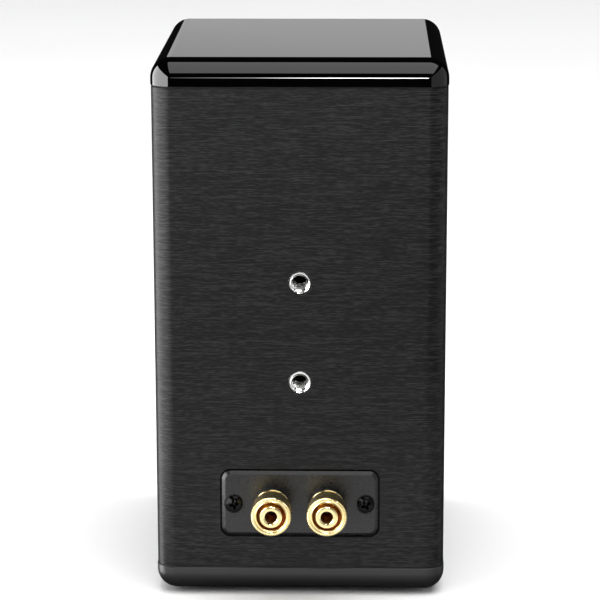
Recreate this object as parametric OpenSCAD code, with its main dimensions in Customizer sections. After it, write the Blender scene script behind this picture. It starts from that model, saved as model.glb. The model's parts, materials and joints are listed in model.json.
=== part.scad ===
// Two-way bookshelf speaker with a wrapped board cabinet, moulded end caps,
// a pull-off cloth grille, screw-down binding posts and threaded mounting inserts.
// +Z is up, the grille faces -Y, the terminals face +Y. Millimetres.
// The origin is on the floor, under the middle of the overall box.

/* [Cabinet] */
// Width over the wrapped side panels
body_w = 100; // [96:1:110]
// Depth from the rear panel to the front of the grille
body_d = 112; // [106:1:125]
// Height of the wrapped part between the two end caps
body_h = 169; // [165:1:185]
// Radius of the vertical edges
edge_r = 6.7; // [5.5:0.1:7.5]
// Thickness of the side, rear, top and bottom boards
board_t = 9; // [8:0.5:9.5]
// Thickness of the front baffle
baffle_t = 12; // [11:0.5:13]
// Thickness of the vinyl wrap
wrap_t = 0.4; // [0.3:0.1:0.6]
// Dark reveal left between the wrap and each end cap
reveal = 0.3; // [0.2:0.1:0.5]

/* [End caps] */
// Height of the top cap
top_cap_h = 9.3; // [8.9:0.1:11]
// Height of the bottom cap
bottom_cap_h = 9; // [8.9:0.1:11]
// How far the caps stand proud of the wrap
cap_proud = 0.2; // [0.1:0.1:0.4]
// Diameter of the rubber feet
foot_dia = 10; // [8:0.5:11]
// How far the feet stand out below the bottom cap
foot_show = 1.2; // [0.8:0.1:2]

/* [Grille] */
// Depth of the grille from the baffle to its cloth face
grille_d = 10; // [9:0.5:12]
// Thickness of the cloth
cloth_t = 0.6; // [0.5:0.1:0.8]
// Diameter of the grille pegs
peg_dia = 5.6; // [5:0.1:5.8]

/* [Woofer] */
// Height of the woofer centre above the floor
woofer_z = 58; // [56:0.5:60]
// Diameter of the woofer flange
woofer_dia = 78; // [76:0.5:79]
// Diameter of the moving cone at its outer edge
cone_dia = 54; // [52:0.5:55]
// Diameter of the woofer magnet
woofer_magnet_dia = 60; // [56:1:62]

/* [Tweeter] */
// Height of the tweeter centre above the floor
tweeter_z = 137; // [136:0.5:139]
// Diameter of the tweeter faceplate
tweeter_dia = 58; // [57:0.5:59]
// Diameter of the dome
dome_dia = 20; // [19:0.5:20]

/* [Terminals and inserts] */
// Distance between the two binding posts
post_pitch = 19.05; // [19.05:0.01:19.05]
// Bore of the banana socket in each post
banana_dia = 4.1; // [4:0.05:4.2]
// Height of the terminal plate centre above the bottom seam
plate_z = 23.7; // [22:0.1:26]
// Distance between the two mounting inserts
insert_pitch = 35; // [30:1:40]
// Minor diameter of the insert thread
insert_bore = 5.2; // [5:0.05:5.25]

/* [Hidden] */
$fn = 96;
gap = 0.05;          // radial room around screws and studs in their holes
joint_gap = 0.1;     // room between pieces that move apart
clear_gap = 0.3;     // room around the grille

// Heights
seam_b = foot_show + bottom_cap_h;
seam_t = seam_b + body_h;
total_h = seam_t + top_cap_h;
mid_z = (seam_b + seam_t) / 2;

// Binding post, distances out from the rear face
plate_out = 0.8;     // terminal plate face
boss_out = 3.7;      // face of the plate's two moulded bosses
flange_out = 4.3;    // fixed flange face
washer_out = 4.9;    // clamp washer face
knob_in = washer_out + joint_gap;
knob_out = 15.2;     // knob face
stud_out = 15.7;     // stud end

// Depths: the box from cap front to stud end is centred on Y = 0
rear_y = (body_d + cap_proud - stud_out) / 2;
front_y = rear_y - body_d;
baffle_y = front_y + grille_d;
baffle_back = baffle_y + baffle_t;
rear_in = rear_y - wrap_t - board_t;
cap_mid_y = (rear_y + front_y) / 2;

// Widths
half_w = body_w / 2;
core_x = half_w - wrap_t;          // outside of the side boards
inner_x = core_x - board_t;        // inside of the side boards

// Screws
screw_r = 1.5;
screw_core = 1.25;
cap_hole_depth = 5;

// Terminal plate
plate_w = 54;
plate_h = 23.3;
plate_r = 3;
plate_t = 3;
plate_bevel = 1;
plate_gap = 0.65;
gasket_t = 0.8;
plate_screw_x = 22.8;
cutout_w = 38;
cutout_h = 16;
post_z = seam_b + plate_z;
recess_d = plate_t - plate_out + gasket_t;

// Posts
stud_r = 3.92;
thread_gap = 0.06;
knob_r = 6.95;
collar_r = 5.75;
flange_r = 6.1;
boss_r = 5.7;
shaft_r = 3.2;
tail_r = 2.5;
tail_len = 14;
wire_hole_r = 1.6;
wire_hole_out = 6;
banana_depth = 14;
knurl_teeth = 72;
knurl_depth = 0.35;

// Inserts
insert_r = 4;
insert_len = 12;
insert_lead = 0.7;
block_w = 34;
block_h = insert_pitch + 34;
block_t = 8;

// Grille pegs
peg_x = 35;
peg_zs = [seam_b + 8.5, seam_t - 8.5];
socket_r = 5;
socket_bore = peg_dia / 2 + 0.25;
peg_len = 8;

// Woofer, depths are measured back from the baffle face
woofer_r = woofer_dia / 2;
cone_r = cone_dia / 2;
flange_t = 3;
rim_r0 = cone_r + 5.2;             // inner edge of the surround's outer rim
rim_r1 = rim_r0 + 2;
woofer_cut_r = 34;
basket_r = 33.5;
coil_r = 10;                       // inside of the voice coil former
former_t = 0.25;
winding_t = 0.6;
pole_r = coil_r - 0.4;
gap_r = coil_r + former_t + winding_t + 0.35;
cone_depth = 14;
spider_depth = 19.5;
basket_floor = 25;
top_plate_d = 27;
magnet_d = 31;
back_plate_d = 41;
magnet_end = 45;
woofer_screw_r = 36.5;

// Tweeter, depths are measured back from the baffle face
tweeter_r = tweeter_dia / 2;
dome_r = dome_dia / 2;
tweeter_cut_r = 23.5;
tweeter_screw_r = 26.3;
tweeter_magnet_r = 22.5;

// Crossover
board_w = 60;
board_l = 36;
board_y = 10;
board_z = seam_b + board_t + 4;
wire_r = 0.9;

// Helpers

// Places children with their +Z axis along +Y, at height z and depth y.
module along_y(x, y, z) {
    translate([x, y, z]) rotate([-90, 0, 0]) children();
}

function unit(v) = v / norm(v);

// A point on a smooth curve through p, a share t of the way from point i to the next.
function spline_at(p, i, t) =
    let (
        a = p[max(i - 1, 0)],
        b = p[i],
        c = p[i + 1],
        d = p[min(i + 2, len(p) - 1)]
    )
    (2 * b + (c - a) * t + (2 * a - 5 * b + 4 * c - d) * t * t
        + (3 * b - a - 3 * c + d) * t * t * t) / 2;

// The points of a smooth curve through p, with the given steps between points.
function spline(p, steps) = concat(
    [for (i = [0 : len(p) - 2], s = [0 : steps - 1]) spline_at(p, i, s / steps)],
    [p[len(p) - 1]]
);

// One ring of eight points round a path at its point i; the path never runs along X.
function wire_ring(path, i, r) =
    let (
        along = unit(path[min(i + 1, len(path) - 1)] - path[max(i - 1, 0)]),
        side = unit(cross([1, 0, 0], along)),
        up = cross(along, side)
    )
    [for (k = [0 : 7]) path[i] + r * (cos(45 * k) * side + sin(45 * k) * up)];

// A wire as one eight-sided tube along a smooth curve through the points.
module wire(points, r) {
    path = spline(points, 5);
    last = len(path) - 1;
    polyhedron(
        [for (i = [0 : last]) each wire_ring(path, i, r)],
        concat(
            [[for (k = [0 : 7]) k]],
            [
                for (i = [0 : last - 1], k = [0 : 7])
                    let (n = (k + 1) % 8)
                        [8 * i + k, 8 * i + 8 + k, 8 * i + 8 + n, 8 * i + n]
            ],
            [[for (k = [7 : -1 : 0]) 8 * last + k]]
        )
    );
}

// A ring along +Z.
module ring(r0, r1, h) {
    difference() {
        cylinder(h = h, r = r1);
        translate([0, 0, -1]) cylinder(h = h + 2, r = r0);
    }
}

// A rectangle in the XY plane with four round corners.
module round_rect(w, h, r) {
    square([w - 2 * r, h], center = true);
    square([w, h - 2 * r], center = true);
    for (x = [-1, 1], y = [-1, 1])
        translate([x * (w / 2 - r), y * (h / 2 - r)]) circle(r = r);
}

// A flat plate with round corners that faces +Y, its back at depth y.
module rear_plate(w, h, r, y, t, z) {
    translate([0, y + t, z]) rotate([90, 0, 0]) linear_extrude(t) round_rect(w, h, r);
}

// The plan outline of the wrapped body, grown by g.
module body_plan(g) {
    translate([0, cap_mid_y]) round_rect(body_w + 2 * g, body_d + 2 * g, edge_r + g);
}

// Four places on a circle, turned by a.
module four_on(r, a) {
    for (i = [0 : 3]) rotate([0, 0, a + 90 * i]) translate([r, 0, 0]) children();
}

// A pan head screw along +Z, head top at 0, shank going down.
module pan_screw(head_r, head_h, shank_r, length) {
    difference() {
        union() {
            translate([0, 0, -head_h]) cylinder(h = head_h * 0.5, r = head_r, $fn = 48);
            translate([0, 0, -head_h * 0.5])
                cylinder(h = head_h * 0.5, r1 = head_r, r2 = head_r * 0.62, $fn = 48);
            translate([0, 0, -head_h - length]) cylinder(h = length, r = shank_r, $fn = 48);
        }
        for (a = [0, 90])
            rotate([0, 0, a])
                translate([-head_r * 0.45, -0.35, -head_h * 0.6]) cube([head_r * 0.9, 0.7, head_h]);
    }
}

// Cabinet

// One side board, on the side given by s; its rear outer edge is round.
module side_board(s) {
    r = edge_r - wrap_t;
    y1 = rear_y - wrap_t;
    translate([0, 0, seam_b])
        linear_extrude(body_h)
            mirror([s < 0 ? 1 : 0, 0]) {
                translate([inner_x, baffle_y]) square([board_t, y1 - r - baffle_y]);
                translate([inner_x, y1 - r]) square([board_t - r, r]);
                intersection() {
                    translate([core_x - r, y1 - r]) circle(r = r);
                    translate([core_x - r, y1 - r]) square([r, r]);
                }
            }
}

module side_board_left() {
    color("peru") side_board(-1);
}

module side_board_right() {
    color("peru") side_board(1);
}

// The rear board, recessed for the terminal plate and drilled for the inserts.
module rear_board() {
    y1 = rear_y - wrap_t;
    color("burlywood")
        difference() {
            translate([-inner_x, rear_in, seam_b]) cube([2 * inner_x, board_t, body_h]);
            rear_plate(plate_w + 2 * plate_gap, plate_h + 2 * plate_gap, plate_r + plate_gap,
                rear_y - recess_d, recess_d, post_z);
            translate([-cutout_w / 2, rear_in - 1, post_z - cutout_h / 2])
                cube([cutout_w, board_t + 2, cutout_h]);
            for (s = [-1, 1])
                along_y(s * plate_screw_x, rear_in - 1, post_z)
                    cylinder(h = board_t, r = screw_core + gap, $fn = 48);
            for (s = [-1, 1])
                along_y(0, rear_in - 1, mid_z + s * insert_pitch / 2)
                    cylinder(h = board_t + 2, r = insert_r + gap);
        }
}

// The front baffle, with a recess and a cut-out for each driver.
module front_baffle() {
    color("dimgray")
        difference() {
            translate([-inner_x, baffle_y, seam_b]) cube([2 * inner_x, baffle_t, body_h]);
            driver_pocket(woofer_z, woofer_r, woofer_cut_r, woofer_screw_r, 45);
            driver_pocket(tweeter_z, tweeter_r, tweeter_cut_r, tweeter_screw_r, 45);
            for (s = [-1, 1], z = peg_zs)
                along_y(s * peg_x, baffle_y - 1, z)
                    cylinder(h = baffle_t - 1, r = socket_r + gap, $fn = 48);
        }
}

// The recess, cut-out and pilot holes for one driver.
module driver_pocket(z, flange, cut, screw_circle, a) {
    along_y(0, baffle_y - 1, z) cylinder(h = 1 + flange_t, r = flange + 0.2);
    along_y(0, baffle_y, z) {
        cylinder(h = baffle_t + 1, r = cut);
        four_on(screw_circle, a) cylinder(h = baffle_t - 1.5, r = screw_core + gap, $fn = 48);
    }
}

// A board that closes the cabinet, its low face at z, with four screw holes.
module closing_board(z) {
    difference() {
        translate([-inner_x, baffle_back, z])
            cube([2 * inner_x, rear_in - baffle_back, board_t]);
        at_cap_screws(z - 1) cylinder(h = board_t + 2, r = screw_r + gap, $fn = 48);
    }
}

// The four screw places of an end cap, at height z.
module at_cap_screws(z) {
    for (x = [-1, 1], y = [-1, 1]) translate([x * 33, cap_mid_y + y * 30, z]) children();
}

module top_board() {
    color("tan") closing_board(seam_t - board_t);
}

module bottom_board() {
    color("tan") closing_board(seam_b);
}

// The vinyl skin round the left side, the rear and the right side.
module vinyl_wrap() {
    y0 = baffle_y;
    color([0.17, 0.17, 0.18])
        difference() {
            translate([0, 0, seam_b + reveal])
                linear_extrude(body_h - 2 * reveal)
                    difference() {
                        body_plan(0);
                        body_plan(-wrap_t);
                        translate([-body_w, front_y - 1]) square([2 * body_w, y0 - front_y + 1]);
                    }
            rear_plate(plate_w + 2 * plate_gap, plate_h + 2 * plate_gap, plate_r + plate_gap,
                rear_y - 2, 4, post_z);
            for (s = [-1, 1])
                along_y(0, rear_y - 2, mid_z + s * insert_pitch / 2)
                    cylinder(h = 4, r = insert_r + 0.4);
        }
}

// End caps

// A cap as a solid: straight lip, then edges rounded to radius r; it opens down.
module cap_solid(g, lip, r) {
    w = body_w / 2 + g;
    d = body_d / 2 + g;
    translate([0, cap_mid_y, 0]) {
        linear_extrude(lip) round_rect(2 * w, 2 * d, r);
        translate([r - w, r - d, 0]) cube([2 * (w - r), 2 * (d - r), lip + r]);
        translate([0, 0, lip])
            intersection() {
                union() {
                    for (x = [-1, 1], y = [-1, 1])
                        translate([x * (w - r), y * (d - r), 0]) sphere(r = r);
                    for (y = [-1, 1])
                        translate([r - w, y * (d - r), 0])
                            rotate([0, 90, 0]) cylinder(h = 2 * (w - r), r = r);
                    for (x = [-1, 1])
                        translate([x * (w - r), r - d, 0])
                            rotate([-90, 0, 0]) cylinder(h = 2 * (d - r), r = r);
                }
                translate([-w, -d, 0]) cube([2 * w, 2 * d, r]);
            }
    }
}

// A solid cap with four blind holes for its screws.
module cap_block(h) {
    r = edge_r + cap_proud;
    difference() {
        cap_solid(cap_proud, h - r, r);
        at_cap_screws(-1) cylinder(h = cap_hole_depth + 1, r = screw_core + gap, $fn = 48);
    }
}

module top_cap() {
    color([0.05, 0.05, 0.05]) translate([0, 0, seam_t]) cap_block(top_cap_h);
}

module bottom_cap() {
    color([0.08, 0.08, 0.08])
        difference() {
            translate([0, 0, seam_b]) mirror([0, 0, 1]) cap_block(bottom_cap_h);
            at_feet(foot_show - 1) cylinder(h = 1.8, r = foot_dia / 2 + 0.1);
        }
}

// The four foot places, at height z.
module at_feet(z) {
    for (x = [-1, 1], y = [-1, 1]) translate([x * 36, cap_mid_y + y * 42, z]) children();
}

module feet() {
    color([0.12, 0.12, 0.12])
        at_feet(0) {
            translate([0, 0, 0.4]) cylinder(h = foot_show + 0.4, r = foot_dia / 2);
            cylinder(h = 0.4, r1 = foot_dia / 2 - 0.4, r2 = foot_dia / 2);
        }
}

// Screws up through the top board and down through the bottom board.
module cap_screws() {
    head = 2;
    color("silver") {
        at_cap_screws(seam_t - board_t - head)
            mirror([0, 0, 1]) cap_screw(head);
        at_cap_screws(seam_b + board_t + head) cap_screw(head);
    }
}

// One cap screw, full in the board and thinner in the cap's boss.
module cap_screw(head) {
    pan_screw(2.9, head, screw_r, board_t - 1);
    translate([0, 0, -head - board_t - 4]) cylinder(h = 5.5, r = screw_core, $fn = 48);
}

// Rear fittings

// The block that thickens the rear board behind the inserts.
module backing_block() {
    color("burlywood")
        difference() {
            translate([-block_w / 2, rear_in - block_t, mid_z - block_h / 2])
                cube([block_w, block_t, block_h]);
            for (s = [-1, 1])
                along_y(0, rear_in - block_t - 1, mid_z + s * insert_pitch / 2)
                    cylinder(h = block_t + 2, r = insert_r + gap);
        }
}

// One threaded insert, its mouth just under the rear face.
module insert(s) {
    face = rear_y - 0.1;
    color("silver")
        along_y(0, face, mid_z + s * insert_pitch / 2)
            difference() {
                translate([0, 0, -insert_len]) cylinder(h = insert_len, r = insert_r);
                translate([0, 0, -insert_len - 1])
                    cylinder(h = insert_len + 2, r = insert_bore / 2);
                translate([0, 0, -insert_lead])
                    cylinder(h = insert_lead * 2, r1 = insert_bore / 2,
                        r2 = insert_bore / 2 + insert_lead * 2);
            }
}

module insert_upper() {
    insert(1);
}

module insert_lower() {
    insert(-1);
}

// The bevelled terminal plate.
module terminal_plate() {
    back = rear_y + plate_out - plate_t;
    color([0.1, 0.1, 0.1])
        difference() {
            union() {
                rear_plate(plate_w, plate_h, plate_r, back, plate_t - plate_bevel, post_z);
                for (i = [0 : 3])
                    rear_plate(plate_w - plate_bevel * i / 2, plate_h - plate_bevel * i / 2,
                        plate_r - plate_bevel * i / 4, back, plate_t - plate_bevel * (3 - i) / 4,
                        post_z);
                for (s = [-1, 1])
                    along_y(s * post_pitch / 2, rear_y, post_z) cylinder(h = boss_out, r = boss_r);
            }
            for (s = [-1, 1]) {
                along_y(s * post_pitch / 2, back - 1, post_z)
                    cylinder(h = plate_t + 2, r = tail_r + gap, $fn = 48);
                along_y(s * post_pitch / 2, rear_y + plate_out, post_z)
                    cylinder(h = boss_out, r = shaft_r + gap);
                along_y(s * plate_screw_x, back - 1, post_z) {
                    cylinder(h = plate_t + 2, r = screw_r + gap, $fn = 48);
                    translate([0, 0, plate_t + 0.6]) cylinder(h = 2, r = 3.5);
                }
            }
        }
}

module terminal_gasket() {
    back = rear_y - recess_d;
    color([0.2, 0.2, 0.2])
        difference() {
            rear_plate(plate_w, plate_h, plate_r, back, gasket_t, post_z);
            translate([-cutout_w / 2, back - 1, post_z - cutout_h / 2])
                cube([cutout_w, gasket_t + 2, cutout_h]);
            for (s = [-1, 1])
                along_y(s * plate_screw_x, back - 1, post_z)
                    cylinder(h = gasket_t + 2, r = screw_r + gap, $fn = 48);
        }
}

module terminal_screws() {
    seat = rear_y + plate_out - 0.4;
    head = 2;
    color([0.1, 0.1, 0.1])
        for (s = [-1, 1])
            along_y(s * plate_screw_x, seat + head, post_z) {
                pan_screw(3, head, screw_r, recess_d + plate_out - 0.8);
                translate([0, 0, -head - 9]) cylinder(h = 7, r = screw_core, $fn = 48);
            }
}

// One binding post: tail, shaft, flange, threaded stud, wire hole and banana socket.
module post(s) {
    plate_back = rear_y + plate_out - plate_t;
    color("gold")
        difference() {
            union() {
                along_y(s * post_pitch / 2, plate_back - tail_len, post_z)
                    cylinder(h = tail_len + plate_t, r = tail_r);
                along_y(s * post_pitch / 2, rear_y + plate_out, post_z)
                    cylinder(h = boss_out - plate_out + 0.1, r = shaft_r);
                along_y(s * post_pitch / 2, rear_y + boss_out, post_z)
                    cylinder(h = flange_out - boss_out, r = flange_r);
                along_y(s * post_pitch / 2, rear_y + flange_out - 0.1, post_z)
                    cylinder(h = stud_out - flange_out + 0.1, r = stud_r);
            }
            along_y(s * post_pitch / 2, rear_y + stud_out - banana_depth, post_z)
                cylinder(h = banana_depth + 1, r = banana_dia / 2);
            along_y(s * post_pitch / 2, rear_y + stud_out - 0.5, post_z)
                cylinder(h = 0.51, r1 = banana_dia / 2, r2 = 3);
            translate([s * post_pitch / 2, rear_y + wire_hole_out, post_z - 6])
                cylinder(h = 12, r = wire_hole_r, $fn = 48);
        }
}

module post_left() {
    post(-1);
}

module post_right() {
    post(1);
}

// Children are placed on both tails, off inches behind the terminal plate.
module on_tails(off) {
    for (s = [-1, 1])
        along_y(s * post_pitch / 2, rear_y + plate_out - plate_t - off, post_z) children();
}

// Flat lugs with a tongue that carries the lead.
module solder_lugs() {
    color("gainsboro")
        on_tails(1.8)
            difference() {
                union() {
                    cylinder(h = 0.8, r = 4.2);
                    translate([-2, 0, 0]) cube([4, 7.6, 0.8]);
                }
                translate([0, 0, -1]) cylinder(h = 3, r = tail_r + gap);
            }
}

// A lock washer against the plate and a hex nut behind the lug, on each tail.
module post_nuts() {
    color("silver") {
        on_tails(1) ring(tail_r + gap, 4.5, 1);
        on_tails(5.8)
            difference() {
                cylinder(h = 4, r = 4.6, $fn = 6);
                translate([0, 0, -1]) cylinder(h = 6, r = tail_r + gap);
            }
    }
}

// The washer that presses a bare wire against the flange.
module clamp_washer(s) {
    y0 = flange_out + joint_gap;
    color("gold")
        along_y(s * post_pitch / 2, rear_y + y0, post_z)
            ring(stud_r + thread_gap, collar_r, washer_out - y0);
}

module clamp_washer_left() {
    clamp_washer(-1);
}

module clamp_washer_right() {
    clamp_washer(1);
}

// The knurled outline of a knob, one point on each crest and in each root.
function knurl() = [
    for (i = [0 : 2 * knurl_teeth - 1])
        let (r = knob_r - (i % 2) * knurl_depth, a = 180 * i / knurl_teeth)
            [r * cos(a), r * sin(a)]
];

// A knurled knob with a smooth collar at the back and an open counterbore in front.
module post_knob(s) {
    collar = 2.2;
    land = 0.3;
    length = knob_out - knob_in;
    root_r = knob_r - knurl_depth;
    color("goldenrod")
        along_y(s * post_pitch / 2, rear_y + knob_in, post_z)
            difference() {
                union() {
                    cylinder(h = collar, r = collar_r);
                    translate([0, 0, collar])
                        linear_extrude(length - collar - land) polygon(knurl());
                    translate([0, 0, length - land])
                        cylinder(h = land, r1 = root_r - 0.1, r2 = root_r - land);
                }
                translate([0, 0, -1]) cylinder(h = length + 2, r = stud_r + thread_gap);
                translate([0, 0, length - 1.2]) cylinder(h = 2, r = 5.02);
            }
}

module post_knob_left() {
    post_knob(-1);
}

module post_knob_right() {
    post_knob(1);
}

// Woofer

// The basket's mounting ring, with a step for the surround's rim.
module woofer_flange() {
    color([0.15, 0.15, 0.16])
        along_y(0, baffle_y, woofer_z)
            difference() {
                rotate_extrude()
                    polygon([
                        [rim_r0 - 0.4, 1], [rim_r1 + 0.2, 1], [rim_r1 + 0.2, 0], [woofer_r, 0],
                        [woofer_r, flange_t], [rim_r0 - 0.4, flange_t]
                    ]);
                four_on(woofer_screw_r, 45)
                    translate([0, 0, -1]) cylinder(h = 6, r = screw_r + gap, $fn = 48);
            }
}

// The pressed basket behind the ring: sloping wall with four windows, ledge and floor.
module woofer_basket() {
    ledge = 26;
    color([0.15, 0.15, 0.16])
        along_y(0, baffle_y, woofer_z)
            difference() {
                rotate_extrude()
                    polygon([
                        [rim_r0 - 0.4, flange_t], [basket_r, flange_t], [basket_r, 5],
                        [28.6, 18], [28.6, spider_depth + 2], [25.5, spider_depth + 3],
                        [25.5, top_plate_d], [12.5, top_plate_d], [12.5, basket_floor],
                        [24, basket_floor], [24, spider_depth + 0.6],
                        [ledge, spider_depth + 0.6], [ledge, 18], [rim_r0 - 0.4, 5]
                    ]);
                for (i = [0 : 3])
                    rotate([0, 0, 90 * i]) translate([20, -9, 7]) cube([20, 18, 9]);
            }
}

module woofer_gasket() {
    color([0.1, 0.1, 0.1])
        along_y(0, baffle_y - 0.5, woofer_z) ring(rim_r0 + 0.75, rim_r1 - 0.1, 0.85);
}

module woofer_screws() {
    color([0.1, 0.1, 0.1]) driver_screws(woofer_z, woofer_screw_r);
}

// Four screws through a driver's flange into the baffle.
module driver_screws(z, circle_r) {
    head = 1.6;
    along_y(0, baffle_y - head, z)
        four_on(circle_r, 45)
            mirror([0, 0, 1]) {
                pan_screw(2.4, head, screw_r, flange_t - 0.1);
                translate([0, 0, -head - 9]) cylinder(h = 7, r = screw_core, $fn = 48);
            }
}

module woofer_top_plate() {
    color("silver")
        along_y(0, baffle_y + top_plate_d, woofer_z)
            ring(gap_r, woofer_magnet_dia / 2 - 2, magnet_d - top_plate_d);
}

module woofer_magnet() {
    color([0.25, 0.25, 0.27])
        along_y(0, baffle_y + magnet_d, woofer_z)
            ring(13, woofer_magnet_dia / 2, back_plate_d - magnet_d);
}

module woofer_yoke() {
    color("silver")
        along_y(0, baffle_y, woofer_z) {
            translate([0, 0, back_plate_d])
                cylinder(h = magnet_end - back_plate_d, r = woofer_magnet_dia / 2 - 2);
            translate([0, 0, top_plate_d - 0.5])
                cylinder(h = back_plate_d - top_plate_d + 1, r = pole_r);
        }
}

// A tag strip on the basket's lower window bar.
module woofer_tag_strip() {
    color([0.45, 0.3, 0.15])
        translate([-8, baffle_y + spider_depth - 1, woofer_z - 31.2]) cube([16, 3, 2.2]);
    color("gold")
        for (s = [-1, 1])
            translate([s * 5 - 1.2, baffle_y + spider_depth + 2, woofer_z - 30.5])
                cube([2.4, 6, 0.8]);
}

// The cone, with a flat glue collar at its outer edge.
module woofer_cone() {
    t = 0.6;
    color([0.12, 0.12, 0.13])
        along_y(0, baffle_y, woofer_z)
            rotate_extrude()
                polygon([
                    [cone_r, 1.05], [cone_r, 1.05 + t], [cone_r - 1.6, 1.05 + t],
                    [18, 8.2 + t], [coil_r + former_t + 0.05, cone_depth + t],
                    [coil_r + former_t + 0.05, cone_depth - 0.2], [17.6, 7.4 + 0.1],
                    [cone_r - 1.4, 1.05]
                ]);
}

// The dust cap, a shallow dome over the voice coil.
module woofer_dust_cap() {
    cap_r = 12.4;
    ball_r = 17;
    base = 11.8;
    drop = sqrt(ball_r * ball_r - cap_r * cap_r);
    color([0.1, 0.1, 0.1])
        along_y(0, baffle_y, woofer_z)
            difference() {
                translate([0, 0, base + drop])
                    difference() {
                        sphere(r = ball_r);
                        sphere(r = ball_r - 0.6);
                    }
                translate([0, 0, base - 0.2]) cylinder(h = 60, r = 40);
            }
}

module woofer_former() {
    color("wheat")
        along_y(0, baffle_y + cone_depth - 1, woofer_z)
            ring(coil_r, coil_r + former_t, 33 - cone_depth + 1);
}

module woofer_winding() {
    color("chocolate")
        along_y(0, baffle_y + 25.5, woofer_z)
            ring(coil_r + former_t, coil_r + former_t + winding_t, 7);
}

// A half-roll surround from rim_r0 down to the cone, seen in section.
module half_roll(r0, r1, base, t) {
    mid = (r0 + r1) / 2;
    roll = (r1 - r0) / 2;
    difference() {
        translate([mid, base]) circle(r = roll, $fn = 48);
        translate([mid, base]) circle(r = roll - t, $fn = 48);
        translate([mid - 2 * roll, base]) square([4 * roll, 2 * roll]);
    }
}

module woofer_surround() {
    t = 0.6;
    color([0.08, 0.08, 0.08])
        along_y(0, baffle_y, woofer_z)
            rotate_extrude() {
                half_roll(cone_r, rim_r0 + t, 1, t);
                translate([rim_r0, 0.4]) square([rim_r1 - rim_r0, t]);
                translate([cone_r - 1.2, 0.4]) square([1.2 + t, t]);
            }
}

// The corrugated spider between the former and the basket's ledge.
module woofer_spider() {
    t = 0.5;
    waves = 4;
    r0 = coil_r + former_t + 0.02;
    r1 = 25.8;
    n = 48;
    height = [for (i = [0 : n]) 0.8 * sin(360 * waves * i / n)];
    color("khaki")
        along_y(0, baffle_y + spider_depth, woofer_z)
            rotate_extrude()
                polygon(concat(
                    [for (i = [0 : n]) [r0 + (r1 - r0) * i / n, height[i]]],
                    [for (i = [n : -1 : 0]) [r0 + (r1 - r0) * i / n, height[i] + t]]
                ));
}

// Tweeter

// The round faceplate with a shallow flare.
module tweeter_faceplate() {
    color([0.12, 0.12, 0.12])
        along_y(0, baffle_y, tweeter_z)
            difference() {
                cylinder(h = flange_t, r = tweeter_r);
                translate([0, 0, -0.5]) cylinder(h = 5, r = 13.8);
                translate([0, 0, -0.01]) cylinder(h = 2, r1 = 20, r2 = 13.8);
                translate([0, 0, -1])
                    four_on(tweeter_screw_r, 45) cylinder(h = 6, r = screw_r + gap, $fn = 48);
            }
}

module tweeter_screws() {
    color([0.1, 0.1, 0.1]) driver_screws(tweeter_z, tweeter_screw_r);
}

module tweeter_top_plate() {
    color("silver")
        along_y(0, baffle_y, tweeter_z) {
            translate([0, 0, 4.6]) ring(10.9, tweeter_magnet_r - 1.5, 3);
            translate([0, 0, 3.25]) ring(12.6, tweeter_magnet_r - 1.5, 1.4);
        }
}

module tweeter_magnet() {
    color([0.25, 0.25, 0.27]) along_y(0, baffle_y + 7.6, tweeter_z) ring(12.5, tweeter_magnet_r, 7);
}

module tweeter_yoke() {
    color("silver")
        along_y(0, baffle_y, tweeter_z) {
            translate([0, 0, 14.6]) cylinder(h = 3, r = tweeter_magnet_r - 1.5);
            translate([0, 0, 4.6]) cylinder(h = 11, r = 9.3);
        }
}

// The dome, a spherical cap with a small glue lip.
module tweeter_dome() {
    ball_r = 12;
    base = 3.2;
    drop = sqrt(ball_r * ball_r - dome_r * dome_r);
    color([0.2, 0.2, 0.21])
        along_y(0, baffle_y, tweeter_z)
            difference() {
                translate([0, 0, base + drop])
                    difference() {
                        sphere(r = ball_r);
                        sphere(r = ball_r - 0.3);
                    }
                translate([0, 0, base]) cylinder(h = 30, r = 30);
            }
}

module tweeter_coil() {
    color("chocolate")
        along_y(0, baffle_y + 3.25, tweeter_z) ring(dome_r - 0.25, dome_r + 0.35, 4.2);
}

module tweeter_surround() {
    t = 0.3;
    color([0.1, 0.1, 0.1])
        along_y(0, baffle_y, tweeter_z)
            rotate_extrude() {
                half_roll(dome_r + 0.5, 13.1, 3.2, t);
                translate([12.8, 2.9]) square([0.8, t]);
            }
}

// Crossover and wiring

module crossover_board() {
    color("darkgreen")
        difference() {
            translate([-board_w / 2, board_y - board_l / 2, board_z])
                cube([board_w, board_l, 1.6]);
            at_standoffs(board_z - 1) cylinder(h = 4, r = screw_r + gap, $fn = 48);
        }
}

// The four corners of the crossover board, at height z.
module at_standoffs(z) {
    for (x = [-1, 1], y = [-1, 1])
        translate([x * (board_w / 2 - 4), board_y + y * (board_l / 2 - 4), z]) children();
}

// Spacers under the board, each with its screw head on top.
module crossover_standoffs() {
    color("white")
        at_standoffs(seam_b + board_t) {
            cylinder(h = 4, r = 3, $fn = 48);
            translate([0, 0, 3.9]) cylinder(h = 1.8, r = screw_r, $fn = 48);
            translate([0, 0, 5.6]) cylinder(h = 1.6, r = 2.6, $fn = 48);
        }
}

module crossover_coil() {
    color("chocolate")
        translate([-11, board_y + 2, board_z + 1.6])
            difference() {
                union() {
                    cylinder(h = 1, r = 11);
                    translate([0, 0, 0.9]) cylinder(h = 7.2, r = 10);
                    translate([0, 0, 8]) cylinder(h = 1, r = 11);
                }
                translate([0, 0, 2]) cylinder(h = 10, r = 4);
            }
}

module crossover_capacitors() {
    color("firebrick")
        for (y = [-9, 4])
            translate([4, board_y + y, board_z + 1.6 + 5])
                rotate([0, 90, 0]) cylinder(h = 19, r = 5, $fn = 48);
}

module crossover_resistor() {
    color("ivory")
        translate([1.2, board_y + 10.5, board_z + 1.6]) cube([21, 5.4, 5.4]);
}

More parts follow.
